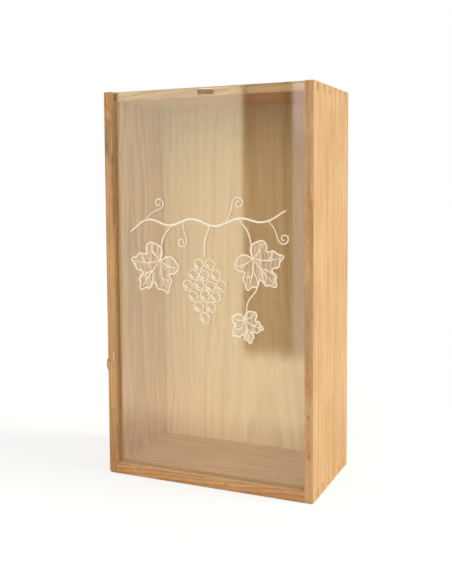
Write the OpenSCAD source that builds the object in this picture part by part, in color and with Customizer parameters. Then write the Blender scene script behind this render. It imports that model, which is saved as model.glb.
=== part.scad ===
// Wooden wine box for two bottles, with a clear lid that slides up out of its grooves.
//
// Four boards meet in finger joints at the corners. The side boards keep the odd
// fingers, so their front edges run the full height; the top and bottom boards
// keep the even ones. A thin back panel lies in a rebate cut round the back and
// is held there by brads. The lid runs in a groove in both side boards, in front
// of the narrower top board, and stands in a groove in the bottom board.
//
// X runs across the front, Y from the front to the back and Z up. The origin is
// the middle of the underside. All sizes are in millimetres.

/* [Box] */
// Width over the side boards
box_w = 200; // [170:1:260]
// Depth from the front edges to the back
box_d = 108; // [95:1:140]
// Height over the top and bottom boards
box_h = 355; // [300:1:420]

/* [Boards] */
// Thickness of the side boards
side_t = 8; // [7:0.5:12]
// Thickness of the top board
top_t = 7.5; // [6:0.5:12]
// Thickness of the bottom board
bottom_t = 9.5; // [7:0.5:14]
// Radius that sanding leaves on the outer edges
arris_r = 0.8; // [0.4:0.1:1.5]

/* [Corner joints] */
// Fingers across the depth, both boards' counted
finger_count = 13; // [9:2:17]

/* [Lid] */
// Thickness of the clear lid
lid_t = 3; // [2:0.5:4]
// Wood in front of the lid's groove
lip_t = 4.5; // [3:0.5:6]
// Depth of the groove
groove_depth = 4; // [3:0.5:5]
// Room in the groove on each face of the lid
face_play = 0.5; // [0.3:0.1:0.8]
// Room between each edge of the lid and the floor of the groove
edge_play = 0.5; // [0.3:0.1:0.8]
// Room under the lid's foot when it is shut
foot_play = 0.3; // [0.2:0.1:0.5]
// Gap between the groove and the top board behind it
top_gap = 1.8; // [0.5:0.1:4]

/* [Finger slot in the lid] */
// Width of the slot
slot_w = 15; // [12:0.5:25]
// Height of the slot
slot_h = 4.4; // [4.2:0.1:8]
// Clear plastic left above the slot
slot_edge = 1.7; // [1.5:0.1:6]

/* [Back panel] */
// Thickness of the back panel
back_t = 4; // [3:0.5:6]
// How far the panel laps over each board
lap = 4; // [3:0.5:5]
// Corner radius that the cutter leaves in the rebate
rebate_r = 6; // [4:0.5:10]
// Room round the edge of the panel
panel_play = 0.2; // [0.1:0.05:0.4]

/* [Brads] */
// Brads up each side of the back panel
brads_up = 4; // [3:1:6]
// Brads across the top and across the bottom
brads_across = 2; // [2:1:4]
// Diameter of a brad
brad_d = 1.2; // [1:0.1:1.6]
// Length of a brad
brad_l = 14; // [10:1:20]
// Diameter of its head
brad_head_d = 2; // [1.8:0.1:2.4]
// Thickness of its head
brad_head_t = 0.6; // [0.4:0.1:0.8]

/* [Hidden] */
$fn = 48;

// Cuts run this far past the faces that they open
over = 1;

// The planes of the front and the back
front_y = -box_d / 2;
back_y = box_d / 2;

// The inside of the four boards
inner_w = box_w - 2 * side_t;
ceiling_z = box_h - top_t;

// One finger's share of the depth
finger_w = box_d / finger_count;

// The lid's groove, as one flat channel
groove_w = lid_t + 2 * face_play;
channel_w = inner_w + 2 * groove_depth;
channel_y = front_y + lip_t;
channel_floor = bottom_t - groove_depth;

// The top board starts behind the lid
top_front_y = channel_y + groove_w + top_gap;

// The lid, shut: its top is flush with the ends of the side boards
lid_w = channel_w - 2 * edge_play;
lid_y = channel_y + face_play;
lid_foot = channel_floor + foot_play;
slot_z = box_h - slot_edge - slot_h / 2;

// The rebate for the back panel
rebate_w = inner_w + 2 * lap;
rebate_foot = bottom_t - lap;
rebate_h = ceiling_z + lap - rebate_foot;
rebate_mid_z = rebate_foot + rebate_h / 2;

// Brads stand in the middle of the lap, evenly spaced along each board
brad_x = inner_w / 2 + lap / 2;
brad_low_z = bottom_t - lap / 2;
brad_high_z = ceiling_z + lap / 2;
brad_places = concat(
    [for (side = [-1, 1], k = [0.5:1:brads_up])
        [side * brad_x, rebate_foot + rebate_h * k / brads_up]],
    [for (z = [brad_low_z, brad_high_z], k = [0.5:1:brads_across])
        [inner_w * (k / brads_across - 0.5), z]]
);

// A rectangle with round corners, about its middle
module round_rect(w, h, r) {
    square([w - 2 * r, h], center = true);
    square([w, h - 2 * r], center = true);
    for (sx = [-1, 1], sy = [-1, 1])
        translate([sx * (w / 2 - r), sy * (h / 2 - r)])
            circle(r);
}

// The outside of the glued-up box, with all its edges sanded round
module sanded_outside() {
    translate([0, 0, box_h / 2])
        intersection() {
            linear_extrude(height = box_h + 2 * over, center = true)
                round_rect(box_w, box_d, arris_r);
            rotate([90, 0, 0])
                linear_extrude(height = box_d + 2 * over, center = true)
                    round_rect(box_w, box_h, arris_r);
            rotate([90, 0, 90])
                linear_extrude(height = box_w + 2 * over, center = true)
                    round_rect(box_d, box_h, arris_r);
        }
}

// The even places along a corner joint, which the top and bottom boards fill:
// w wide about the middle, from z up by t
module even_fingers(w, z, t) {
    for (i = [1:2:finger_count - 1])
        translate([-w / 2, front_y + i * finger_w, z])
            cube([w, finger_w, t]);
}

// The groove that the lid runs in
module lid_channel() {
    translate([-channel_w / 2, channel_y, channel_floor])
        cube([channel_w, groove_w, box_h]);
}

// The rebate round the back, and by its own room less, the panel's outline
module rebate_outline(room = 0) {
    round_rect(rebate_w - 2 * room, rebate_h - 2 * room, rebate_r - room);
}

module back_rebate() {
    translate([0, back_y + over, rebate_mid_z])
        rotate([90, 0, 0])
            linear_extrude(height = back_t + over)
                rebate_outline();
}

// One brad, driven in from the back
module brad() {
    rotate([90, 0, 0]) {
        cylinder(d = brad_d, h = brad_l);
        cylinder(d = brad_head_d, h = brad_head_t);
    }
}

module all_brads() {
    for (place = brad_places)
        translate([place[0], back_y, place[1]])
            brad();
}

// A slot with round ends, about its middle
module slot_outline(w, h) {
    square([w - h, h], center = true);
    for (side = [-1, 1])
        translate([side * (w - h) / 2, 0])
            circle(d = h);
}

// What is cut from every board once the four are glued up and sanded
module finish_board() {
    difference() {
        intersection() {
            children();
            sanded_outside();
        }
        lid_channel();
        back_rebate();
        all_brads();
    }
}

// A side board, with sockets at both ends for the other boards' fingers
module side_board(side) {
    finish_board()
        difference() {
            translate([side * (box_w - side_t) / 2, 0, box_h / 2])
                cube([side_t, box_d, box_h], center = true);
            even_fingers(box_w + 2 * over, -over, bottom_t + over);
            even_fingers(box_w + 2 * over, ceiling_z, top_t + over);
        }
}

// A board that lies between the sides and reaches through them with its
// fingers: t thick from z up, with its front edge at y
module cross_board(z, t, y) {
    finish_board()
        intersection() {
            union() {
                even_fingers(box_w, z, t);
                translate([-inner_w / 2, front_y, z])
                    cube([inner_w, box_d, t]);
            }
            translate([-box_w, y, z])
                cube([2 * box_w, back_y - y, t]);
        }
}

module left_side() {
    color("#b98c5f") side_board(-1);
}

module right_side() {
    color("#dcb183") side_board(1);
}

module top_board() {
    color("#d2b184") cross_board(ceiling_z, top_t, top_front_y);
}

module bottom_board() {
    color("#bd9060") cross_board(0, bottom_t, front_y);
}

module back_panel() {
    color("#d8c09a")
        difference() {
            translate([0, back_y, rebate_mid_z])
                rotate([90, 0, 0])
                    linear_extrude(height = back_t)
                        rebate_outline(panel_play);
            all_brads();
        }
}

module back_brads() {
    color("#b8b4a8") all_brads();
}

module sliding_lid() {
    color("#e6e0d0", 0.35)
        translate([0, lid_y + lid_t, 0])
            rotate([90, 0, 0])
                linear_extrude(height = lid_t)
                    difference() {
                        translate([-lid_w / 2, lid_foot])
                            square([lid_w, box_h - lid_foot]);
                        translate([0, slot_z])
                            slot_outline(slot_w, slot_h);
                    }
}

left_side();
right_side();
top_board();
bottom_board();
back_panel();
back_brads();
sliding_lid();
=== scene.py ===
# %% [markdown]
# # A wooden gift box with a sliding clear lid
#
# The real object is a small joiner's box: four oiled pine boards locked together
# by finger joints, a thin plywood back pinned into a rebate, and a polished
# acrylic lid that slides up out of its grooves.
#
# The sizes were settled in the CAD model, so this lesson never changes them. It
# loads that model as a fixed frame and gives it eased edges, timber, plastic,
# light and a camera. Lengths are in metres unless a comment says otherwise.

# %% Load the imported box
import math
import random

import bmesh
import bpy
from mathutils import Matrix, Vector, noise


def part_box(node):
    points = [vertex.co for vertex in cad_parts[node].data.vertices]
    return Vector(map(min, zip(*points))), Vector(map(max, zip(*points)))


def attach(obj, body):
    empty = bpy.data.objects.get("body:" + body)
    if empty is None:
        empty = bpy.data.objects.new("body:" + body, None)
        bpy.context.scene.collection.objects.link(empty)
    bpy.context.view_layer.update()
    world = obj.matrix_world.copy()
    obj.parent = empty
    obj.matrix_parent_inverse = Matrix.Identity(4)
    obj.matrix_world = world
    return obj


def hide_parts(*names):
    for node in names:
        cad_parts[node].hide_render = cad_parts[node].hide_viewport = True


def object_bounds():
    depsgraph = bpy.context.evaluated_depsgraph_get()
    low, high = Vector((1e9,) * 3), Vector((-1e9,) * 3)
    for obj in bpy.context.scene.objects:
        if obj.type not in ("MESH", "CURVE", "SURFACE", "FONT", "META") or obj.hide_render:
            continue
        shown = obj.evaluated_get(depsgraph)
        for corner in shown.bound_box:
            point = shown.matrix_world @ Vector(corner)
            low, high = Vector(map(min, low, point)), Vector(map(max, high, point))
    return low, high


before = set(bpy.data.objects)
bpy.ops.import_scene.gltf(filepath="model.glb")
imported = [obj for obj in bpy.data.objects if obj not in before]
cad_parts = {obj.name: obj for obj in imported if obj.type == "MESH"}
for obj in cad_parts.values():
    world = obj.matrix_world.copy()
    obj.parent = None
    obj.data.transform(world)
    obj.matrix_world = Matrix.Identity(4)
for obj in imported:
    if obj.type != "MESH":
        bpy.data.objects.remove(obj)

bpy.context.scene.view_settings.view_transform = "Standard"
cad_low, cad_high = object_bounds()
box_size = Vector(cad_high) - Vector(cad_low)
print("box, in millimetres:", [round(side * 1000, 1) for side in box_size])

# %% [markdown]
# ## The camera
#
# A small product is photographed from a little above its middle with a normal
# lens, so that its uprights stay nearly parallel. The lens, the place and the
# three turns below were worked out from the straight edges of the box. The frame
# is 452 by 584, so the sensor's 36 mm lie along the 584 side. The small shift
# stands for a picture that was cropped off centre.

# %% Camera
FRAME_WIDE, FRAME_HIGH = 452, 584
SENSOR_MM = 36.0
FOCAL_PIXELS = 810.56
CENTRE_X, CENTRE_Y = 212.62, 242.83
CAMERA_PLACE = (0.29833, -0.69558, 0.27078)
TURN, TILT, ROLL = math.radians(24.320), math.radians(-4.156), math.radians(-0.420)

camera_data = bpy.data.cameras.new("product_camera")
camera_data.sensor_width = SENSOR_MM
camera_data.lens = SENSOR_MM * FOCAL_PIXELS / FRAME_HIGH
camera_data.shift_x = (FRAME_WIDE / 2 - CENTRE_X) / FRAME_HIGH
camera_data.shift_y = (CENTRE_Y - FRAME_HIGH / 2) / FRAME_HIGH
camera_data.clip_start = 0.02
camera = bpy.data.objects.new("product_camera", camera_data)
bpy.context.scene.collection.objects.link(camera)
camera.matrix_world = (
    Matrix.Translation(CAMERA_PLACE)
    @ Matrix.Rotation(TURN, 4, "Z")
    @ Matrix.Rotation(math.radians(90) + TILT, 4, "X")
    @ Matrix.Rotation(ROLL, 4, "Z")
)
bpy.context.scene.camera = camera
print("lens", round(camera_data.lens, 2), "mm")

# %% [markdown]
# ## Three small helpers for materials
#
# Colours are written as the eye meets them on a screen, in sRGB hex, and one
# function turns them to the linear light that Cycles mixes. A second one adds a
# node with its settings and its links, and gives back the output to link next.
# A third starts a material and hands over its tree.

# %% Material helpers
def linear(hex_colour):
    """An sRGB hex colour as linear red, green, blue and alpha."""
    parts = [int(hex_colour[i : i + 2], 16) / 255 for i in (1, 3, 5)]
    return [c / 12.92 if c <= 0.04045 else ((c + 0.055) / 1.055) ** 2.4 for c in parts] + [1.0]


def add(tree, kind, inputs=None, out=0, **settings):
    """Adds a node, sets it up, fills or links its inputs, and returns one of its outputs."""
    made = tree.nodes.new("ShaderNode" + kind)
    for name, value in settings.items():
        setattr(made, name, value)
    for name, value in (inputs or {}).items():
        if isinstance(value, bpy.types.NodeSocket):
            tree.links.new(value, made.inputs[name])
        else:
            made.inputs[name].default_value = value
    return made.outputs[out] if len(made.outputs) else None


def start_material(name):
    """A new material with an empty tree."""
    material = bpy.data.materials.new(name)
    material.use_nodes = True
    material.node_tree.nodes.clear()
    return material, material.node_tree


# %% [markdown]
# ## From bmesh to object
#
# Each shape is worked on in a bmesh. When it is done it becomes a mesh, and an
# object at the origin carries that mesh into the scene.

# %% Shape helper
def to_scene(name, shape):
    """Turns a finished bmesh into an object of the scene."""
    mesh = bpy.data.meshes.new(name)
    shape.to_mesh(mesh)
    shape.free()
    made = bpy.data.objects.new(name, mesh)
    bpy.context.scene.collection.objects.link(made)
    return made


# %% [markdown]
# ## The floor
#
# The box stands on a plain white sweep. The floor bounces light like matt paint.
# To the camera, and in the lid's reflections, it also glows a little, so that
# lit paper comes out white while the box's soft shadow stays on it. Light Path
# tells a ray that sees from a ray that only carries light.

# %% Floor
FLOOR_HALF = 30.0
DIRECT = 0.5  # no diffuse bounce yet: the depth is 0, which is below this


def seen_directly(tree):
    """1 where the camera looks, straight or by the lid, and 0 for light on its way to the box."""
    ray = add(tree, "LightPath", out="Is Camera Ray")
    kinds = ray.node.outputs
    seen = add(tree, "Math", {0: ray, 1: kinds["Is Glossy Ray"]}, operation="MAXIMUM")
    seen = add(tree, "Math", {0: seen, 1: kinds["Is Transmission Ray"]}, operation="MAXIMUM")
    direct = add(tree, "Math", {0: kinds["Diffuse Depth"], 1: DIRECT}, operation="LESS_THAN")
    return add(tree, "Math", {0: seen, 1: direct}, operation="MULTIPLY")


floor_shape = bmesh.new()
bmesh.ops.create_grid(floor_shape, x_segments=1, y_segments=1, size=FLOOR_HALF)
floor = to_scene("studio_floor", floor_shape)

floor_paper, tree = start_material("white paper sweep")
matt = add(tree, "BsdfDiffuse", {"Color": linear("#E6E6E4")})
seen_matt = add(tree, "BsdfDiffuse", {"Color": linear("#B4B4B2")})
glow = add(tree, "Emission", {"Color": linear("#FFFFFF"), "Strength": 0.68})
paper = add(tree, "AddShader", {0: seen_matt, 1: glow})
surface = add(tree, "MixShader", {0: seen_directly(tree), 1: matt, 2: paper})
add(tree, "OutputMaterial", {"Surface": surface})
floor.data.materials.append(floor_paper)
print("floor", 2 * FLOOR_HALF, "m across")

# %% [markdown]
# ## Soft light
#
# Two very wide lamps do the work. The key stands to the right and a little
# behind, so the outer side is the brightest face and the front edges stay
# darker. The fill stands in front and reaches the inside through the lid. The
# rest is an even sky, which the camera sees as plain white.

# %% World and lamps
SKY_LEVEL = 0.42

world = bpy.data.worlds.new("white studio")
bpy.context.scene.world = world
world.use_nodes = True
world.node_tree.nodes.clear()
tree = world.node_tree
level = add(tree, "MapRange", {"Value": seen_directly(tree), "To Min": SKY_LEVEL, "To Max": 1.0})
sky = add(tree, "Background", {"Color": linear("#FFFFFF"), "Strength": level})
add(tree, "OutputWorld", {"Surface": sky})


def broad_lamp(name, towards, strength, softness, colour):
    """A very wide sun: its light comes from one side of the sky, with soft shadows."""
    data = bpy.data.lights.new(name, "SUN")
    data.energy = strength
    data.angle = math.radians(softness)
    data.color = linear(colour)[:3]
    lamp = bpy.data.objects.new(name, data)
    lamp.rotation_euler = Vector(towards).to_track_quat("Z", "Y").to_euler()
    bpy.context.scene.collection.objects.link(lamp)
    return lamp


key = broad_lamp("broad_key", (0.86, 0.14, 0.50), 1.52, 30, "#FFFAF2")
fill = broad_lamp("front_fill", (0.20, -0.88, 0.40), 0.93, 60, "#FFF8EE")
print("lamps:", key.name, fill.name)

# %% [markdown]
# ## What the lid mirrors
#
# A polished sheet looks like nothing until it mirrors something. A photographer
# hangs white cards where the camera sees them in the sheet, and black cards where
# it should look clear. These cards are grids that only shiny faces see: they
# light nothing and cast no shadow.

# %% One card
def mirror_card(name, low, high, axis, colour, level, fade):
    """A glowing card from one corner to the other, which faces along axis. Its edges fade to
    clear over two lengths: the first across X, the second along its other side."""
    middle = (Vector(low) + Vector(high)) / 2
    size = Vector(high) - Vector(low)
    shape = bmesh.new()
    bmesh.ops.create_grid(shape, x_segments=1, y_segments=1, size=0.5)
    if axis == "Y":
        upright = Matrix.Rotation(math.radians(90), 3, "X")
        bmesh.ops.rotate(shape, cent=(0, 0, 0), matrix=upright, verts=shape.verts)
    bmesh.ops.scale(shape, vec=[max(side, 1e-6) for side in size], verts=shape.verts)
    card = to_scene(name, shape)
    card.location = middle
    card.visible_camera = card.visible_diffuse = card.visible_shadow = False

    silk, tree = start_material(name + " silk")
    place = add(tree, "TexCoord", out="Object")
    place = add(tree, "VectorMath", {0: place}, operation="ABSOLUTE")
    room = add(tree, "VectorMath", {0: size / 2, 1: place}, operation="SUBTRACT")
    across = add(tree, "SeparateXYZ", {"Vector": room}, out="X")
    along = across.node.outputs["Z" if axis == "Y" else "Y"]
    cover = add(tree, "MapRange", {"Value": across, "From Max": fade[0]},
                interpolation_type="SMOOTHSTEP")
    rest = add(tree, "MapRange", {"Value": along, "From Max": fade[1]},
               interpolation_type="SMOOTHSTEP")
    cover = add(tree, "Math", {0: cover, 1: rest}, operation="MULTIPLY")
    bounces = add(tree, "LightPath", out="Diffuse Depth")
    direct = add(tree, "Math", {0: bounces, 1: DIRECT}, operation="LESS_THAN")
    cover = add(tree, "Math", {0: cover, 1: direct}, operation="MULTIPLY")
    glow = add(tree, "Emission", {"Color": linear(colour), "Strength": level})
    gone = add(tree, "BsdfTransparent")
    surface = add(tree, "MixShader", {0: cover, 1: gone, 2: glow})
    add(tree, "OutputMaterial", {"Surface": surface})
    card.data.materials.append(silk)
    return card


# %% [markdown]
# ## Hanging the cards
#
# The tall card gives the pale veil over the left two thirds of the lid, and the
# two that lie on the floor the veil near its foot. A dim card between two black
# strips keeps the upper right clear. The last two give the faint veil down the
# right edge, which is strongest at the top.

# %% Cards
# Each card: its name, two corners, the axis that it faces, its colour, how bright it
# is, and how far its edges fade
MIRROR_CARDS = [
    ("tall_card", (-0.52, -0.400, -0.03), (-0.1045, -0.400, 0.55), "Y",
     "#FDF8DB", 4.22, (0.008, 0.04)),
    ("far_card", (-0.56, -0.700, 0.003), (0.12, -0.150, 0.003), "Z",
     "#FFEFD2", 4.6, (0.05, 0.120)),
    ("near_card", (-0.56, -0.350, 0.002), (0.13, -0.050, 0.002), "Z",
     "#FFF4DA", 2.8, (0.05, 0.008)),
    ("left_black_strip", (-0.120, -0.401, 0.03), (-0.0925, -0.401, 0.55), "Y",
     "#8A6A6C", 0.10, (0.0015, 0.03)),
    ("right_black_strip", (-0.0535, -0.401, 0.03), (-0.039, -0.401, 0.55), "Y",
     "#8A6A6C", 0.10, (0.0015, 0.03)),
    ("dim_card", (-0.100, -0.402, 0.03), (-0.046, -0.402, 0.55), "Y",
     "#F2D7CC", 0.7, (0.0015, 0.03)),
    ("corner_card", (-0.040, -0.402, 0.310), (0.12, -0.402, 0.55), "Y",
     "#EEDFDC", 4.2, (0.0015, 0.05)),
    ("side_card", (-0.047, -0.403, 0.03), (0.12, -0.403, 0.55), "Y",
     "#EEE2E2", 2.1, (0.0015, 0.03)),
]
cards = [mirror_card(*card_settings) for card_settings in MIRROR_CARDS]
print("cards:", [card.name for card in cards])

# %% [markdown]
# ## Working on the boards
#
# The CAD boards have the right shape, but their edges are knife sharp where one
# board meets the next, and a box that is set down often wears round at its lowest
# edge. Sculpting could do that, but cuts at chosen places keep the flats flat: a
# few loops are cut beside each worn edge and pulled onto an arc.

# %% Worn edges
# The long edges that are worn round: which side, the height, and the radius
WORN_EDGES = [(-1, 0.0, 0.0034), (1, 0.0, 0.0018), (-1, box_size.z, 0.0017)]
# Where the loops are cut, as shares of the radius
LOOPS = (0.08, 0.22, 0.42, 0.68, 1.0)


def wear_long_edges(shape):
    """Rounds the box's worst-knocked long edges."""
    for hand, height, radius in WORN_EDGES:
        inward = 1 if height == 0.0 else -1
        centre = Vector((hand * (box_size.x / 2 - radius), 0.0, height + inward * radius))
        for share in LOOPS:
            across = Vector((hand * (box_size.x / 2 - radius * share), 0.0, 0.0))
            upward = Vector((0.0, 0.0, height + inward * radius * share))
            for point, normal in ((across, (1, 0, 0)), (upward, (0, 0, 1))):
                parts = shape.verts[:] + shape.edges[:] + shape.faces[:]
                bmesh.ops.bisect_plane(shape, geom=parts, plane_co=point, plane_no=normal,
                                       dist=1e-6)
        for corner in shape.verts:
            arm = corner.co - centre
            arm.y = 0.0
            if arm.x * hand > 0 and arm.z * inward < 0 and arm.length > radius:
                pulled = centre + arm.normalized() * radius
                corner.co = Vector((pulled.x, corner.co.y, pulled.z))


print("worn long edges:", len(WORN_EDGES))

# %% [markdown]
# ## Eased edges
#
# A joiner rubs every edge with sandpaper, and the light then catches it as a thin
# line. A CAD node arrives as loose triangles and is never changed, so a merged
# copy takes its place. Its flat faces are made whole, and its sharp edges are
# bevelled by about a fifth of a millimetre. Only the bevels are shaded smooth,
# because smooth shading on a large flat face would bend its light.

# %% Copy a CAD solid and ease its edges
SAME_POINT = 2e-6
FLAT, SHARP = math.radians(0.4), math.radians(30)


def eased_copy(node_name, piece_name, body, ease, material, worn=False):
    """Adds a merged copy of a CAD node with its sharp edges bevelled by ease metres."""
    shape = bmesh.new()
    shape.from_mesh(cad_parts[node_name].data)
    bmesh.ops.remove_doubles(shape, verts=shape.verts, dist=SAME_POINT)
    bmesh.ops.dissolve_limit(shape, angle_limit=FLAT, verts=shape.verts, edges=shape.edges)
    if worn:
        wear_long_edges(shape)
    sharp = [edge for edge in shape.edges
             if edge.is_manifold and edge.calc_face_angle() > SHARP]
    for face in shape.faces:
        face.smooth = False
    eased = bmesh.ops.bevel(shape, geom=sharp, offset=ease, offset_type="OFFSET", segments=2,
                            profile=0.5, affect="EDGES", material=-1, clamp_overlap=True)
    for face in eased["faces"]:
        face.smooth = True
    open_edges = sum(not edge.is_manifold for edge in shape.edges)
    piece = to_scene(piece_name, shape)
    piece.data.materials.append(material)
    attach(piece, body)
    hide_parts(node_name)
    print(piece_name, len(piece.data.polygons), "faces,", open_edges, "open edges")


# %% [markdown]
# ## Timber
#
# A board is sawn from a log, so its figure is a slice through the log's rings.
# Painted stripes would look the same on every face. Here the rings are made round
# a pith line that lies outside the board, leans a little and wanders slowly, and
# each face then shows its own true cut: streaks on the faces, close lines on the
# edges, arcs on the end grain. The material has many jobs, so each one has a
# function, and the first finds a point's place in its log.

# %% The log's own axes
# The pith wanders by a few millimetres over some 400 mm of its length, and the
# rings ripple by part of one over some 45 mm: how often each noise repeats in a
# metre, across twice and along, its roughness, and how far it reaches
WANDER = (9.0, 9.0, 2.6), 0.55, 0.030
RIPPLE = (150.0, 150.0, 22.0), 0.5, 0.0018
TURN_TO_GRAIN = {"X": (0.0, math.radians(90), 0.0), "Z": (0.0, 0.0, 0.0)}


def log_place(tree, place, grain, pith, lean):
    """A point's place in its log, whose third axis is the pith."""
    moved = add(tree, "VectorMath", {0: place, 1: pith}, operation="SUBTRACT")
    log = add(tree, "Mapping", {"Vector": moved, "Rotation": TURN_TO_GRAIN[grain]})
    log = add(tree, "Mapping", {"Vector": log, "Rotation": (lean[0], lean[1], 0.0)})
    for often, roughness, reach in (WANDER, RIPPLE):
        drift = add(tree, "Mapping", {"Vector": log, "Scale": often})
        drift = add(tree, "TexNoise", {"Vector": drift, "Scale": 1.0, "Detail": 2.0,
                                       "Roughness": roughness}, out="Color")
        drift = add(tree, "VectorMath", {0: drift, 1: (0.5, 0.5, 0.5)}, operation="SUBTRACT")
        drift = add(tree, "VectorMath", {0: drift, "Scale": reach}, operation="SCALE")
        log = add(tree, "VectorMath", {0: log, 1: drift}, operation="ADD")
    return log


# %% [markdown]
# ## Year rings
#
# Pine rings are 2 to 4 mm apart. Late wood darkens slowly to the end of the year
# and stops at once, and some years leave a stronger line than others.

# %% Year rings
# Where late wood begins, where it is darkest, and where it starts to stop, in a year
LATE_BEGINS, LATE_FULL, LATE_ENDS = 0.30, 0.88, 0.90
FAINTEST_YEAR = 0.25


def year_rings(tree, log, ring):
    """How far a point lies in its year's late wood, from 0 to 1, with rings ring metres apart."""
    flat = add(tree, "VectorMath", {0: log, 1: (1.0, 1.0, 0.0)}, operation="MULTIPLY")
    radius = add(tree, "VectorMath", {0: flat}, out="Value", operation="LENGTH")
    count = add(tree, "Math", {0: radius, 1: ring}, operation="DIVIDE")
    within = add(tree, "Math", {0: count}, operation="FRACT")
    number = add(tree, "Math", {0: count}, operation="FLOOR")
    strength = add(tree, "TexWhiteNoise", {"W": number}, noise_dimensions="1D")
    strength = add(tree, "MapRange", {"Value": strength, "To Min": FAINTEST_YEAR, "To Max": 1.0})
    rise = add(tree, "MapRange", {"Value": within, "From Min": LATE_BEGINS,
                                  "From Max": LATE_FULL}, interpolation_type="SMOOTHSTEP")
    fall = add(tree, "MapRange", {"Value": within, "From Min": LATE_ENDS, "From Max": 1.0,
                                  "To Min": 1.0, "To Max": 0.0})
    band = add(tree, "Math", {0: rise, 1: fall}, operation="MULTIPLY")
    return add(tree, "Math", {0: band, 1: strength}, operation="MULTIPLY")


# %% [markdown]
# ## Fibres
#
# Softwood is a bundle of fine tubes, so every smaller pattern is drawn out along
# the grain too. The real tubes are too fine to show in the render, so they are
# drawn coarser.

# %% Drawn-out noise
# How often each repeats in a metre, across twice and along
FIBRE = (1250.0, 1250.0, 33.0)  # 0.8 mm wide and 30 mm long
STREAK = (330.0, 330.0, 6.5)  # 3 mm by 150 mm
FLECK = (520.0, 520.0, 170.0)  # 2 mm by 6 mm


def drawn_out(tree, log, often, detail, roughness):
    """A noise that is stretched along the grain."""
    stretched = add(tree, "Mapping", {"Vector": log, "Scale": often})
    return add(tree, "TexNoise", {"Vector": stretched, "Scale": 1.0, "Detail": detail,
                                  "Roughness": roughness})


print("fibres drawn", round(1000 / FIBRE[0], 1), "mm wide")


# %% [markdown]
# ## Colour by face
#
# The figure runs from the palest early wood to the darkest late wood. A board's
# long edges get a darker, redder tint, which is painted shade, with fine brown
# lines in the open grain. Oil lies deepest on the end grain.

# %% Figure and faces
OPEN_GRAIN = "#A06C38"


def figure(tree, early, late, band, streak, cloud, fleck):
    """The colour of the long grain: rings and streaks, with softer clouds and flecks over them."""
    tone = add(tree, "Math", {0: streak, 1: 1.35, 2: -0.50}, operation="MULTIPLY_ADD")
    tone = add(tree, "Math", {0: band, 1: 0.70, 2: tone}, operation="MULTIPLY_ADD")
    patch = add(tree, "Math", {0: cloud, 1: 0.8, 2: -0.53}, operation="MULTIPLY_ADD")
    patch = add(tree, "Math", {0: fleck, 1: 0.5, 2: patch}, operation="MULTIPLY_ADD")
    tone = add(tree, "Math", {0: tone, 1: patch}, operation="ADD", use_clamp=True)
    return add(tree, "Mix", {0: tone, 6: linear(early), 7: linear(late)},
               out=2, data_type="RGBA")


def edge_shade_and_end_grain(tree, colour, edge, end, edge_shade_mask, on_end, band, cloud, fleck):
    """The same wood on a long edge and on end grain, each multiplied by its tint; the long edge's
    tint is a painted shade.
    """
    mottle = add(tree, "MapRange", {"Value": cloud, "From Min": 0.3, "From Max": 0.7,
                                    "To Min": 0.62, "To Max": 1.0})
    edge_shade_mask = add(tree, "Math", {0: edge_shade_mask, 1: mottle}, operation="MULTIPLY")
    lines = add(tree, "Math", {0: fleck, 1: 0.9, 2: band}, operation="MULTIPLY_ADD")
    lines = add(tree, "MapRange", {"Value": lines, "From Min": 0.3, "From Max": 1.1,
                                   "To Min": 0.0, "To Max": 0.55})
    lined = add(tree, "Mix", {0: lines, 6: colour, 7: linear(OPEN_GRAIN)},
                out=2, data_type="RGBA")
    # Painted shade: the long edges are multiplied by the darker, redder edge tint
    edge_shaded = add(tree, "Mix", {0: 1.0, 6: lined, 7: linear(edge)},
               out=2, data_type="RGBA", blend_type="MULTIPLY")
    colour = add(tree, "Mix", {0: edge_shade_mask, 6: colour, 7: edge_shaded}, out=2, data_type="RGBA")
    cut = add(tree, "Mix", {0: 1.0, 6: colour, 7: linear(end)},
              out=2, data_type="RGBA", blend_type="MULTIPLY")
    return add(tree, "Mix", {0: on_end, 6: colour, 7: cut}, out=2, data_type="RGBA")


# %% [markdown]
# ## Painted light in the groove
#
# Inside the lid's groove the wood is painted paler, as painted light in a recess
# that lies in shade. The groove is found as the box that the lid fills, and a little more.

# %% Paler groove
lid_low, lid_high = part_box("sliding_lid")
GROOVE_MIDDLE = (lid_low + lid_high) / 2
GROOVE_REACH = (lid_high - lid_low) / 2 + Vector((0.0008, 0.0008, 0.0008))
GROOVE_LIGHT = "#FFD6AA"


def painted_groove_light(tree, place, colour):
    """Painted light on the wood inside the lid's shaded groove."""
    inside = add(tree, "VectorMath", {0: place, 1: GROOVE_MIDDLE}, operation="SUBTRACT")
    inside = add(tree, "VectorMath", {0: inside}, operation="ABSOLUTE")
    inside = add(tree, "VectorMath", {0: GROOVE_REACH, 1: inside}, operation="SUBTRACT")
    inside = add(tree, "SeparateXYZ", {"Vector": inside}, out="X")
    room = inside.node.outputs
    groove_lit = add(tree, "Math", {0: inside, 1: room["Y"]}, operation="MINIMUM")
    groove_lit = add(tree, "Math", {0: groove_lit, 1: room["Z"]}, operation="MINIMUM")
    groove_lit = add(tree, "MapRange", {"Value": groove_lit, "From Max": 0.00005, "To Max": 0.9})
    return add(tree, "Mix", {0: groove_lit, 6: colour, 7: linear(GROOVE_LIGHT)},
               out=2, data_type="RGBA")


print("groove, in millimetres:", [round(side * 2000, 1) for side in GROOVE_REACH])
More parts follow.
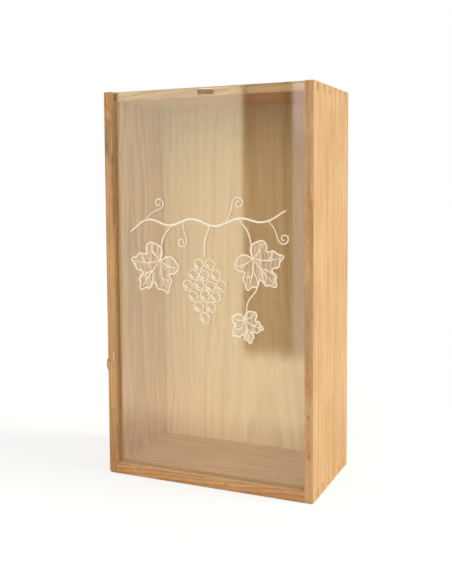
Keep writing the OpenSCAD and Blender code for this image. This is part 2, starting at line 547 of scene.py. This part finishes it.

# %% [markdown]
# ## Knots, stains, scars and painted light
#
# Each mark is a soft patch round a short line: where the line starts and stops,
# about half the patch's width, its colour, and how much of the wood it covers,
# from 0 to 1. The fibre noise makes the patch ragged, as oil creeps further along
# some fibres than others.

# %% Marks
def marked(tree, place, fibre, colour, marks):
    """Lays the marks over the colour, one after the other."""
    for start, stop, width, stain, depth in marks:
        reach = Vector(stop) - Vector(start)
        away = add(tree, "VectorMath", {0: place, 1: start}, operation="SUBTRACT")
        along = add(tree, "VectorMath", {0: away, 1: reach / max(reach.length_squared, 1e-9)},
                    out="Value", operation="DOT_PRODUCT")
        along = add(tree, "Clamp", {"Value": along})
        nearest = add(tree, "VectorMath", {0: reach, "Scale": along}, operation="SCALE")
        away = add(tree, "VectorMath", {0: away, 1: nearest}, operation="SUBTRACT")
        away = add(tree, "VectorMath", {0: away}, out="Value", operation="LENGTH")
        away = add(tree, "Math", {0: fibre, 1: width * 1.6, 2: away}, operation="MULTIPLY_ADD")
        inside = add(tree, "MapRange", {"Value": away, "From Min": width * 1.1,
                                        "From Max": width * 2.2, "To Min": depth, "To Max": 0.0},
                     interpolation_type="SMOOTHSTEP")
        colour = add(tree, "Mix", {0: inside, 6: colour, 7: linear(stain)},
                     out=2, data_type="RGBA")
    return colour


# %% [markdown]
# ## Wear, with painted light on the arrises
#
# Oil and dust darken the fine valleys where two boards meet. They are the bevels,
# whose normals point along no axis. Hands and sandpaper rub the outer arrises,
# which are known by their place, outermost along two axes at once. Where their
# colour is pale it is wear with a painted highlight, and where it is dark it is
# painted shade. The ones that face down get a painted shade.

# %% Valleys and arrises
DUST, UNDERSIDE_SHADE = "#6E4E2C", "#7D6540"
ARRIS_WIDTH = 0.0009
ARRIS_FADE = 1600.0  # per metre: the wear is full 0.6 mm further out


def arris_wear_and_painted_light(tree, place, facing, axes, streak, colour, arris_wear_and_light):
    """Dust in the valleys, and the outer arrises rubbed to the arris colour, with painted light on
    them and painted shade where they face down.
    """
    flatness = add(tree, "Math", {0: axes["X"], 1: axes["Y"]}, operation="MAXIMUM")
    flatness = add(tree, "Math", {0: flatness, 1: axes["Z"]}, operation="MAXIMUM")
    valley = add(tree, "MapRange", {"Value": flatness, "From Min": 0.93, "From Max": 0.97,
                                    "To Min": 0.65, "To Max": 0.0})
    dusty = add(tree, "Mix", {0: valley, 6: colour, 7: linear(DUST)}, out=2, data_type="RGBA")

    # How far a point lies in the outermost band, along each axis
    middle = (0.0, 0.0, box_size.z / 2)
    half = box_size / 2 - Vector((ARRIS_WIDTH,) * 3)
    out_from = add(tree, "VectorMath", {0: place, 1: middle}, operation="SUBTRACT")
    out_from = add(tree, "VectorMath", {0: out_from}, operation="ABSOLUTE")
    out_from = add(tree, "VectorMath", {0: out_from, 1: half}, operation="SUBTRACT")
    near = add(tree, "VectorMath", {0: out_from, "Scale": ARRIS_FADE}, operation="SCALE")
    near = add(tree, "VectorMath", {0: near, 1: (0.0, 0.0, 0.0)}, operation="MAXIMUM")
    near = add(tree, "VectorMath", {0: near, 1: (1.0, 1.0, 1.0)}, operation="MINIMUM")
    near = add(tree, "SeparateXYZ", {"Vector": near}).node.outputs

    # An arris is where two of the three bands meet
    worn = add(tree, "Math", {0: near["X"], 1: near["Y"]}, operation="MULTIPLY")
    worn = add(tree, "Math", {0: near["Y"], 1: near["Z"], 2: worn}, operation="MULTIPLY_ADD")
    worn = add(tree, "Math", {0: near["Z"], 1: near["X"], 2: worn}, operation="MULTIPLY_ADD",
               use_clamp=True)
    colour = add(tree, "Mix", {0: worn, 6: dusty, 7: colour}, out=2, data_type="RGBA")
    # The rubbed arris colour is wear, with a painted highlight where it is pale and painted shade
    # where it is dark
    rub = add(tree, "MapRange", {"Value": streak, "From Min": 0.35, "From Max": 0.6,
                                 "To Min": 0.25, "To Max": 0.8})
    worn = add(tree, "Math", {0: worn, 1: rub}, operation="MULTIPLY")
    # Painted shade: arrises that face down are darkened
    underside_shade = add(tree, "SeparateXYZ", {"Vector": facing}, out="Z")
    underside_shade = add(tree, "MapRange", {"Value": underside_shade, "From Min": -0.15, "From Max": -0.5})
    rubbed_and_painted = add(tree, "Mix", {0: underside_shade, 6: linear(arris_wear_and_light), 7: linear(UNDERSIDE_SHADE)},
                 out=2, data_type="RGBA")
    return add(tree, "Mix", {0: worn, 6: colour, 7: rubbed_and_painted}, out=2, data_type="RGBA")


# %% [markdown]
# ## Timber, put together
#
# Oiled pine has a dull sheen: it is smoother on the hard late wood, and a few
# fibres stand up.

# %% Timber material
def timber(name, early, late, edge, end, grain, pith, lean, ring, edge_shade_axis, marks=(),
           arris_wear_and_light="#F2D3A2", paint_groove_light=True):
    """Oiled softwood. early and late are its two woods, edge and end the tints of its cut faces.
    grain is the axis that the fibres follow, pith a point of the log's middle line, lean how that
    line tilts, ring the space between rings, and the axis after it the one that long edges face;
    their edge tint is painted shade. The arris colour, or None, is that of the rubbed arrises: wear
    with a painted highlight where it is pale, painted shade where it is dark. The last flag says
    whether the lid's groove in the board gets painted light.
    """
    material, tree = start_material(name)
    place = add(tree, "TexCoord", out="Object")
    facing = place.node.outputs["Normal"]
    turned = add(tree, "VectorMath", {0: facing}, operation="ABSOLUTE")
    axes = add(tree, "SeparateXYZ", {"Vector": turned}).node.outputs
    edge_shade_mask = add(tree, "MapRange", {"Value": axes[edge_shade_axis], "From Min": 0.35, "From Max": 0.9})
    on_end = add(tree, "MapRange", {"Value": axes[grain], "From Min": 0.5, "From Max": 0.9})

    log = log_place(tree, place, grain, pith, lean)
    band = year_rings(tree, log, ring)
    fibre = drawn_out(tree, log, FIBRE, 3.0, 0.6)
    streak = drawn_out(tree, log, STREAK, 2.0, 0.5)
    fleck = drawn_out(tree, log, FLECK, 2.0, 0.6)
    cloud = add(tree, "TexNoise", {"Vector": log, "Scale": 17.0, "Detail": 3.0,
                                   "Roughness": 0.55})

    colour = figure(tree, early, late, band, streak, cloud, fleck)
    colour = edge_shade_and_end_grain(tree, colour, edge, end, edge_shade_mask, on_end, band, cloud, fleck)
    # Painted light inside the lid's groove
    if paint_groove_light:
        colour = painted_groove_light(tree, place, colour)
    colour = marked(tree, place, fibre, colour, marks)
    if arris_wear_and_light:
        colour = arris_wear_and_painted_light(tree, place, facing, axes, streak, colour, arris_wear_and_light)

    rough = add(tree, "MapRange", {"Value": band, "To Min": 0.56, "To Max": 0.42})
    rough = add(tree, "Math", {0: fibre, 1: 0.16, 2: rough}, operation="MULTIPLY_ADD")
    height = add(tree, "Math", {0: band, 1: 0.5, 2: fibre}, operation="MULTIPLY_ADD")
    bump = add(tree, "Bump", {"Height": height, "Distance": 0.00018, "Strength": 0.55})
    shaded = add(tree, "BsdfPrincipled", {"Base Color": colour, "Roughness": rough,
                                          "Normal": bump, "IOR": 1.5, "Specular IOR Level": 0.35})
    add(tree, "OutputMaterial", {"Surface": shaded})
    return material


# %% [markdown]
# ## The side boards
#
# Each side is one pine board with its fibres upright. The right one is cut nearly
# square to the rings, so it shows close straight streaks, and its front edge is
# darker in patches and by a painted shade. The left one came from another place in
# the log, with a knot and two dark resin lines high on its front edge, and painted
# shade on its arrises and on the inner face of its front lip.

# %% Right board
BOARD_EASE = 0.00018

right_marks = [
    ((0.0960, -0.054, 0.0020), (0.0960, -0.054, 0.0350), 0.0040, "#DDB080", 0.55),
    ((0.0960, -0.054, 0.1280), (0.0955, -0.054, 0.1870), 0.0040, "#AE8256", 0.42),
    ((0.0960, -0.054, 0.2720), (0.0960, -0.054, 0.3060), 0.0040, "#AE8256", 0.45),
    ((0.0955, -0.054, 0.0735), (0.0955, -0.054, 0.0752), 0.0008, "#5F452C", 0.55),
    ((0.0970, -0.054, 0.2900), (0.0970, -0.054, 0.2908), 0.0003, "#F2D9B2", 0.45),
    ((0.1000, 0.0509, 0.3055), (0.1000, 0.0512, 0.3067), 0.0008, "#6B4A2C", 0.7),
    ((0.1000, 0.0510, 0.2868), (0.1000, 0.0514, 0.2882), 0.0008, "#6B4A2C", 0.7),
]
right_pine = timber("oiled pine, right board", early="#F5CC94", late="#CF9A5C",
                    edge="#DEC8B2", end="#EFD6CE", grain="Z", pith=(0.035, 0.075, 0.0),
                    lean=(math.radians(1.2), math.radians(-0.8)), ring=0.0031,
                    edge_shade_axis="Y", marks=right_marks)
eased_copy("right_side", "right_board", "box", BOARD_EASE, right_pine, worn=True)

# %% Left board
left_marks = [
    ((-0.0978, -0.054, 0.3010), (-0.0958, -0.054, 0.3255), 0.0036, "#7A6240", 0.62),
    ((-0.0992, -0.054, 0.3140), (-0.0935, -0.054, 0.2925), 0.0030, "#7A5C3C", 0.50),
    ((-0.0928, -0.054, 0.2700), (-0.0924, -0.054, 0.2960), 0.0018, "#8A6238", 0.45),
    # The next two are painted shade on the inner face of the front lip
    ((-0.0918, -0.0518, 0.2350), (-0.0916, -0.0518, 0.3560), 0.0024, "#8C643A", 0.55),
    ((-0.0920, -0.0520, 0.0240), (-0.0920, -0.0520, 0.0440), 0.0028, "#94683E", 0.50),
    ((-0.0960, -0.054, 0.1080), (-0.0955, -0.054, 0.1340), 0.0040, "#A67C50", 0.45),
    ((-0.0962, -0.054, 0.1420), (-0.0962, -0.054, 0.1840), 0.0040, "#A67C50", 0.32),
    ((-0.0962, -0.054, 0.0020), (-0.0960, -0.054, 0.0600), 0.0040, "#A0794E", 0.40),
    ((-0.0968, -0.054, 0.3100), (-0.0962, -0.054, 0.3195), 0.0012, "#B0714E", 0.60),
    ((-0.0958, -0.054, 0.2950), (-0.0962, -0.054, 0.3010), 0.0012, "#A9775A", 0.50),
    ((-0.0990, -0.054, 0.3447), (-0.0912, -0.054, 0.3352), 0.0005, "#6A4A26", 0.70),
    ((-0.0990, -0.054, 0.3311), (-0.0910, -0.054, 0.3262), 0.0005, "#6A4A26", 0.75),
    ((-0.0938, -0.054, 0.2038), (-0.0938, -0.054, 0.2044), 0.0004, "#3A281A", 0.9),
    ((-0.0939, -0.054, 0.1066), (-0.0938, -0.054, 0.1144), 0.0007, "#E9D2AC", 0.6),
]
# The left board's dark arris colour is painted shade on the side away from the lamps
left_pine = timber("oiled pine, left board", early="#F2C78A", late="#CE9655",
                   edge="#DCC5A8", end="#EFD6CE", grain="Z", pith=(-0.178, -0.016, 0.0),
                   lean=(math.radians(-1.5), math.radians(1.0)), ring=0.0029,
                   edge_shade_axis="Y", marks=left_marks, arris_wear_and_light="#A88A5C")
eased_copy("left_side", "left_board", "box", BOARD_EASE, left_pine, worn=True)

# %% [markdown]
# ## The top and bottom boards
#
# These lie across, so their fibres run from side to side and their fingers show
# end grain on the outer faces of the box. The bottom one has painted light along
# both lips of the lid's groove, and the top one in the slits beside its fingers.

# %% Top board
top_marks = [
    ((0.0400, -0.0437, 0.3512), (0.0880, -0.0437, 0.3512), 0.0030, "#F2D0A2", 0.5),
    # The next two are painted light: orange on the cut faces in the slits beside the fingers, which
    # the lamps don't reach
    ((0.0992, -0.0438, 0.3470), (0.0992, -0.0438, 0.3530), 0.0012, "#F5A45C", 0.9),
    ((-0.0992, -0.0438, 0.3470), (-0.0992, -0.0438, 0.3530), 0.0012, "#F5A45C", 0.9),
]
top_pine = timber("oiled pine, top board", early="#F2CC96", late="#D9A568",
                  edge="#CDBCA2", end="#F4E3E4", grain="X", pith=(0.0, 0.020, 0.285),
                  lean=(math.radians(0.8), math.radians(1.2)), ring=0.0030,
                  edge_shade_axis="Y", marks=top_marks)
eased_copy("top_board", "top_board_eased", "box", BOARD_EASE, top_pine, worn=True)

# %% Bottom board
bottom_marks = [
    ((0.0196, -0.054, 0.0052), (0.0196, -0.054, 0.0060), 0.0009, "#6A5F42", 0.65),
    ((0.0500, -0.054, 0.0040), (0.0570, -0.054, 0.0040), 0.0013, "#D08A50", 0.55),
    # The next two are painted light: pale lines on the lip's top and on the floor just behind the
    # lid, which lie in shade
    ((-0.0900, -0.0515, 0.0097), (0.0900, -0.0515, 0.0097), 0.0016, "#FFDDAE", 0.75),
    ((-0.0900, -0.0436, 0.0090), (0.0900, -0.0436, 0.0090), 0.0024, "#FFE6C2", 0.85),
]
bottom_pine = timber("oiled pine, bottom board", early="#F2C78A", late="#CE9453",
                     edge="#E4D2CC", end="#F2E6E0", grain="X", pith=(0.0, -0.110, -0.045),
                     lean=(math.radians(-1.0), math.radians(0.6)), ring=0.0027,
                     edge_shade_axis="Y", marks=bottom_marks)
eased_copy("bottom_board", "bottom_board_eased", "box", BOARD_EASE, bottom_pine,
           worn=True)

# %% [markdown]
# ## The back
#
# The back is a sheet of thin plywood, whose face is peeled from the log, so its
# figure is broad and faint. It is paler than the oiled boards.

# %% Back panel
PANEL_EASE = 0.00025

birch = timber("birch plywood, sanded", early="#E6C898", late="#D2AE78",
               edge="#E8D5BC", end="#E3CDB0", grain="Z", pith=(0.020, 0.130, 0.0),
               lean=(math.radians(2.2), math.radians(1.5)), ring=0.0052,
               edge_shade_axis="X", arris_wear_and_light=None, paint_groove_light=False)
eased_copy("back_panel", "plywood_back", "box", PANEL_EASE, birch)

# %% [markdown]
# ## The brads
#
# Twelve thin steel brads pin the back into its rebate. Only their heads show, as
# small dull discs.

# %% Brads
BRAD_EASE = 0.00012

steel, tree = start_material("bright steel wire, drawn")
place = add(tree, "TexCoord", out="Object")
scratch = add(tree, "TexNoise", {"Vector": place, "Scale": 2500.0, "Detail": 3.0})
rough = add(tree, "MapRange", {"Value": scratch, "To Min": 0.28, "To Max": 0.5})
tint = add(tree, "Mix", {0: scratch, 6: linear("#B9B6AE"), 7: linear("#8E8A82")},
           out=2, data_type="RGBA")
shaded = add(tree, "BsdfPrincipled", {"Base Color": tint, "Roughness": rough, "Metallic": 1.0})
add(tree, "OutputMaterial", {"Surface": shaded})
eased_copy("back_brads", "steel_brads", "box", BRAD_EASE, steel)

# %% [markdown]
# ## The lid
#
# The lid is clear acrylic, 3 mm thick, with polished edges. Acrylic has an index
# of 1.49, so each face mirrors about 4% of what stands in front of it. The
# reflection is a little soft, and what is behind stays sharp. Shadow rays pass,
# so that the lamps reach the inside of the box, but each face dims them more than
# real plastic does: a painted shade over the inside.

# %% Lid
ACRYLIC_INDEX = 1.49
LID_EASE = 0.00030

acrylic, tree = start_material("clear acrylic, polished")
place = add(tree, "TexCoord", out="Object")
smear = add(tree, "TexNoise", {"Vector": place, "Scale": 14.0, "Detail": 3.0})
rough = add(tree, "MapRange", {"Value": smear, "To Min": 0.02, "To Max": 0.09})
through = add(tree, "BsdfRefraction", {"Color": linear("#FBFAF6"), "Roughness": 0.0,
                                       "IOR": ACRYLIC_INDEX})
mirror = add(tree, "BsdfAnisotropic", {"Color": linear("#FFFFFF"), "Roughness": rough})
share = add(tree, "Fresnel", {"IOR": ACRYLIC_INDEX})
clear = add(tree, "MixShader", {0: share, 1: through, 2: mirror})
# Painted shade: each face dims the shadow rays more than real plastic would
dimmed_shadow_way = add(tree, "BsdfTransparent", {"Color": linear("#E6E5E0")})
shadow = add(tree, "LightPath", out="Is Shadow Ray")
surface = add(tree, "MixShader", {0: shadow, 1: clear, 2: dimmed_shadow_way})
add(tree, "OutputMaterial", {"Surface": surface})
eased_copy("sliding_lid", "acrylic_lid", "lid", LID_EASE, acrylic)

# %% [markdown]
# ## The engraving
#
# Such lids are engraved for the person who gets the box. This one carries a
# plain vine: three leaves, a bunch of grapes and some tendrils, drawn for this
# lesson. The cutter roughens the plastic, which scatters light and looks white.
# A texture could draw it, but lines made of curves stay sharp at any distance and
# are part of the mesh. All lines share one curve object, and its places across
# and up the lid are written in millimetres.

# %% Lines of the engraving
MILLIMETRE = 0.001
LID_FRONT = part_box("sliding_lid")[0].y
# An open line swells like the middle of half a wave: the share of its width that
# lies under the wave, and where on the half wave it starts and how much it spans
UNDER_WAVE, WAVE_START, WAVE_SPAN = 0.35, 0.12, 0.76

vine = bpy.data.curves.new("engraved_vine", "CURVE")
vine.dimensions = "3D"
vine.bevel_depth = MILLIMETRE  # so that a point's radius is in millimetres
vine.bevel_resolution = 1
vine.resolution_u = 5
vine.use_fill_caps = True


def cut_line(points, wide, closed=False):
    """Adds one smooth line through points, as many millimetres wide at its middle."""
    line = vine.splines.new("BEZIER")
    line.bezier_points.add(len(points) - 1)
    line.use_cyclic_u = closed
    last = len(points) - 1
    for number, (spot, (x, z)) in enumerate(zip(line.bezier_points, points)):
        spot.co = (x / 1000, 0.0, z / 1000)
        spot.handle_left_type = spot.handle_right_type = "AUTO"
        wave = math.sin(math.pi * (WAVE_START + WAVE_SPAN * number / last))
        spot.radius = wide / 2 * (1.0 if closed else UNDER_WAVE + (1.0 - UNDER_WAVE) * wave)


def placed(points, at, size, angle):
    """The points, made larger, turned by angle degrees and moved to a place."""
    c, s = math.cos(math.radians(angle)), math.sin(math.radians(angle))
    return [(at[0] + size * (x * c - z * s), at[1] + size * (x * s + z * c)) for x, z in points]


# %% [markdown]
# ## Leaves
#
# A vine leaf is the same on both sides of its middle vein, so half an outline is
# enough: it is mirrored, closed, and placed three times at different sizes and
# turns. The veins run out from where the stalk joins.

# %% Leaves
# Half of a vine leaf, from its tip round to its stalk: degrees from the tip, and reach
HALF_LEAF = [(0, 1.00), (9, 0.84), (17, 0.80), (27, 0.57), (40, 0.76), (52, 0.80),
             (61, 0.94), (70, 0.78), (82, 0.70), (92, 0.52), (106, 0.66), (120, 0.74),
             (136, 0.66), (152, 0.58), (167, 0.40), (176, 0.20)]
# Where each leaf's middle lies, how far its tip reaches, and its turn in degrees
LEAVES = [((-49.0, 198.0), 29.0, 142.0), ((47.0, 203.0), 27.0, -138.0),
          ((37.0, 150.0), 18.0, -165.0)]
OUTLINE_WIDE, VEIN_WIDE = 1.5, 1.15

other_half = [(360 - angle, reach) for angle, reach in reversed(HALF_LEAF[1:])]
outline = [(reach * math.sin(math.radians(angle)), reach * math.cos(math.radians(angle)))
           for angle, reach in HALF_LEAF + other_half]
veins = [[(0, -0.20), (0.02, 0.35), (0.0, 0.88)]]
for hand in (-1, 1):
    veins.append([(0, -0.18), (hand * 0.30, 0.16), (hand * 0.72, 0.42)])
    veins.append([(0, -0.18), (hand * 0.30, -0.20), (hand * 0.58, -0.34)])
    veins.append([(0, 0.25), (hand * 0.12, 0.42), (hand * 0.20, 0.66)])
    veins.append([(hand * 0.36, 0.20), (hand * 0.48, 0.20), (hand * 0.62, 0.12)])
for at, size, angle in LEAVES:
    cut_line(placed(outline, at, size, angle), OUTLINE_WIDE, closed=True)
    for vein in veins:
        cut_line(placed(vein, at, size, angle), VEIN_WIDE)
print("leaves", len(LEAVES), "with", len(veins), "veins each")

# %% [markdown]
# ## Stem, tendrils and grapes
#
# The stem is one long wavy line that thins at both ends. A tendril runs out
# straight and then winds in, so it is a line that ends in a shrinking circle.
# Each grape is a ring that isn't quite round, with a short thick arc as its
# shaded side.

# %% Stem and stalks
STEM = [(-76, 228), (-58, 239), (-36, 234), (-14, 240), (8, 234), (32, 241), (54, 238), (74, 248)]
# Each stalk and its width
STALKS = [
    ([(-33, 234), (-42, 224), (-46, 204)], 1.5),
    ([(30, 241), (40, 228), (43, 208)], 1.5),
    ([(4, 235), (-1, 222), (-2, 207)], 1.8),
    ([(43, 200), (48, 182), (39, 168), (38, 154)], 1.3),
]

cut_line(STEM, 2.4)
for points, wide in STALKS:
    cut_line(points, wide)
print("stem and stalks drawn,", len(vine.splines), "lines so far")

# %% Tendrils
TENDRIL_WIDE = 1.25
CURL_MIDDLE, CURL_RADIUS = (0.72, 0.32), 0.20


def tendril(start, reach, turns, hand, angle):
    """A line that runs out and winds into a small spiral."""
    points = [(0, 0), (0.25, 0.10), (0.5, 0.12)]
    steps = int(turns * 8)
    for step in range(steps + 1):
        way = step / steps
        around = math.pi * 2 * turns * way - math.pi / 2
        radius = CURL_RADIUS * (1 - 0.80 * way)
        points.append((CURL_MIDDLE[0] + radius * math.cos(around),
                       CURL_MIDDLE[1] + radius * math.sin(around)))
    points = [(x, hand * z) for x, z in points]
    cut_line(placed(points, start, reach, angle), TENDRIL_WIDE)


tendril((-60, 239), 25, 1.3, 1, 25)
tendril((18, 237), 27, 1.4, -1, 78)
tendril((58, 239), 26, 1.3, 1, -70)
tendril((-22, 238), 24, 1.3, -1, -72)
print("tendrils drawn,", len(vine.splines), "lines so far")

# %% Grapes
GRAPE = 5.3  # half the room that one grape takes up, in millimetres
ROWS = (2, 3, 4, 3, 2, 1)
BUNCH_ACROSS, BUNCH_TOP = -2, 200
# How far apart grapes and rows stand, in times GRAPE, and how many millimetres one strays
APART, ROW_APART, STRAY = 2.08, 1.78, 0.5
SHADED_SIDE = (165, 205, 245, 285)  # degrees round from the right


def on_circle(degrees, reach=1.0):
    """A point of a circle, counted round from the right."""
    return (reach * math.cos(math.radians(degrees)), reach * math.sin(math.radians(degrees)))


rng = random.Random(7)
bunch = [(column - (count - 1) / 2, row)
         for row, count in enumerate(ROWS) for column in range(count)]
for across, row in bunch:
    x = BUNCH_ACROSS + across * GRAPE * APART + rng.uniform(-STRAY, STRAY)
    z = BUNCH_TOP - row * GRAPE * ROW_APART + rng.uniform(-STRAY, STRAY)
    ring = [(side, up * rng.uniform(0.95, 1.05))
            for side, up in map(on_circle, range(0, 360, 45))]
    cut_line(placed(ring, (x, z), GRAPE * 0.86, 0), 1.05, closed=True)
    arc = [on_circle(degrees, 0.46) for degrees in SHADED_SIDE]
    cut_line(placed(arc, (x, z), GRAPE, rng.uniform(-12, 12)), 2.3)
print("grapes", len(bunch), "in", len(vine.splines), "lines")

# %% [markdown]
# ## From curve to cut
#
# The curve is turned into a mesh and pressed flat onto the lid's front face until
# it stands about a tenth of a millimetre proud. The frost gets a faint painted
# glow, standing in for light that runs inside the sheet and comes out where the
# cutter roughened it, so the lines are a little brighter than paper would be.

# %% Flatten the lines onto the lid
PRESSED = 0.10  # the share of its depth that a line keeps

drawn = bpy.data.objects.new("vine_lines", vine)
bpy.context.scene.collection.objects.link(drawn)
finished = drawn.evaluated_get(bpy.context.evaluated_depsgraph_get())
lines_mesh = bpy.data.meshes.new_from_object(finished)
bpy.data.objects.remove(drawn)
press = Matrix.Diagonal((1.0, PRESSED, 1.0, 1.0))
lines_mesh.transform(Matrix.Translation((0, LID_FRONT, 0)) @ press)
lines_mesh.name = "engraved_lines"
engraving = bpy.data.objects.new("engraved_lines", lines_mesh)
bpy.context.scene.collection.objects.link(engraving)
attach(engraving, "lid")
print("engraving", len(lines_mesh.polygons), "faces")

# %% Frost
frosted, tree = start_material("frosted acrylic, engraved")
place = add(tree, "TexCoord", out="Object")
grit = add(tree, "TexNoise", {"Vector": place, "Scale": 1400.0, "Detail": 2.0})
cover = add(tree, "MapRange", {"Value": grit, "From Min": 0.3, "From Max": 0.6,
                               "To Min": 0.80, "To Max": 1.0})
bump = add(tree, "Bump", {"Height": grit, "Distance": 0.00005, "Strength": 0.5})
# The small emission is a painted glow
shaded = add(tree, "BsdfPrincipled", {
    "Base Color": linear("#FFF4E0"), "Roughness": 0.7, "IOR": ACRYLIC_INDEX, "Alpha": cover,
    "Normal": bump, "Emission Color": linear("#FFE9C8"), "Emission Strength": 0.14})
add(tree, "OutputMaterial", {"Surface": shaded})
lines_mesh.materials.clear()
lines_mesh.materials.append(frosted)

# %% [markdown]
# ## The scribed shading
#
# Inside the leaves the cutter ran to and fro, which leaves a lighter, streaky
# frost. It is a leaf shape made from a disc, a fiftieth of a millimetre thick.

# %% Shading of the leaves
SHADE_OFF, SHADE_THICK = 0.00002, 0.00002
SHADE_SHARE = 0.97  # of the leaf, so that it stays inside the outline

shade_shape = bmesh.new()
for at, size, angle in LEAVES:
    disc = bmesh.ops.create_circle(shade_shape, cap_ends=True, segments=len(outline),
                                   radius=1.0)["verts"]
    for corner, (x, z) in zip(disc, placed(outline, at, size * SHADE_SHARE, angle)):
        corner.co = (x / 1000, LID_FRONT - SHADE_OFF, z / 1000)
bmesh.ops.recalc_face_normals(shade_shape, faces=shade_shape.faces)
bmesh.ops.solidify(shade_shape, geom=shade_shape.faces[:], thickness=SHADE_THICK)
bmesh.ops.recalc_face_normals(shade_shape, faces=shade_shape.faces)
shading = to_scene("engraved_shading", shade_shape)
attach(shading, "lid")

scribed, tree = start_material("frosted acrylic, scribed")
place = add(tree, "TexCoord", out="Object")
slanted = add(tree, "Mapping", {"Vector": place, "Rotation": (0.0, math.radians(28), 0.0),
                                "Scale": (700.0, 1.0, 40.0)})
hatch = add(tree, "TexNoise", {"Vector": slanted, "Scale": 1.0, "Detail": 2.0})
cover = add(tree, "MapRange", {"Value": hatch, "From Min": 0.44, "From Max": 0.62,
                               "To Min": 0.05, "To Max": 0.50})
# The small emission is a painted glow
shaded = add(tree, "BsdfPrincipled", {
    "Base Color": linear("#FFF0D6"), "Roughness": 0.75, "IOR": ACRYLIC_INDEX, "Alpha": cover,
    "Emission Color": linear("#FFE4BC"), "Emission Strength": 0.10})
add(tree, "OutputMaterial", {"Surface": shaded})
shading.data.materials.append(scribed)
print("shading", len(shading.data.polygons), "faces")

# %% [markdown]
# ## The burr
#
# On the left board's outer face, close to the front arris, the tree left a small
# raised, torn knot. It is a ball pulled into a drop, steep above and tapering
# below, and roughened by noise.

# %% Burr
BURR_PLACE = (-0.0994, -0.0508, 0.1020)
BURR_HALF_SIZE = (0.0031, 0.0036, 0.0078)
TAPER = 0.42  # the share of its girth that the ball loses towards its lower end
# Broad and fine lumps: how often each noise repeats over the ball, and its height
BROAD_OFTEN, BROAD_HEIGHT, BROAD_SHIFT = 1.9, 0.26, Vector((3.1, 0.4, 7.7))
FINE_OFTEN, FINE_HEIGHT = 5.3, 0.11

burr_shape = bmesh.new()
bmesh.ops.create_icosphere(burr_shape, subdivisions=4, radius=1.0)
for corner in burr_shape.verts:
    ball = corner.co.copy()
    girth = 1.0 - TAPER * max(0.0, -ball.z) ** 1.2
    lumps = (BROAD_HEIGHT * noise.noise(ball * BROAD_OFTEN + BROAD_SHIFT)
             + FINE_HEIGHT * noise.noise(ball * FINE_OFTEN))
    corner.co = Vector((ball.x * girth, ball.y * girth, ball.z)) * (1.0 + lumps)
bmesh.ops.scale(burr_shape, vec=BURR_HALF_SIZE, verts=burr_shape.verts)
bmesh.ops.translate(burr_shape, vec=BURR_PLACE, verts=burr_shape.verts)
for face in burr_shape.faces:
    face.smooth = True
burr = to_scene("pine_burr", burr_shape)
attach(burr, "box")

torn, tree = start_material("pine knot, torn and oiled")
place = add(tree, "TexCoord", out="Object")
lumps = add(tree, "TexNoise", {"Vector": place, "Scale": 420.0, "Detail": 4.0,
                               "Roughness": 0.65})
tone = add(tree, "MapRange", {"Value": lumps, "From Min": 0.32, "From Max": 0.68})
colour = add(tree, "Mix", {0: tone, 6: linear("#7A6546"), 7: linear("#CDB78E")},
             out=2, data_type="RGBA")
bump = add(tree, "Bump", {"Height": lumps, "Distance": 0.0006, "Strength": 0.7})
shaded = add(tree, "BsdfPrincipled", {"Base Color": colour, "Roughness": 0.6, "Normal": bump,
                                      "IOR": 1.5})
add(tree, "OutputMaterial", {"Surface": shaded})
burr.data.materials.append(torn)
print("burr", len(burr.data.polygons), "faces")
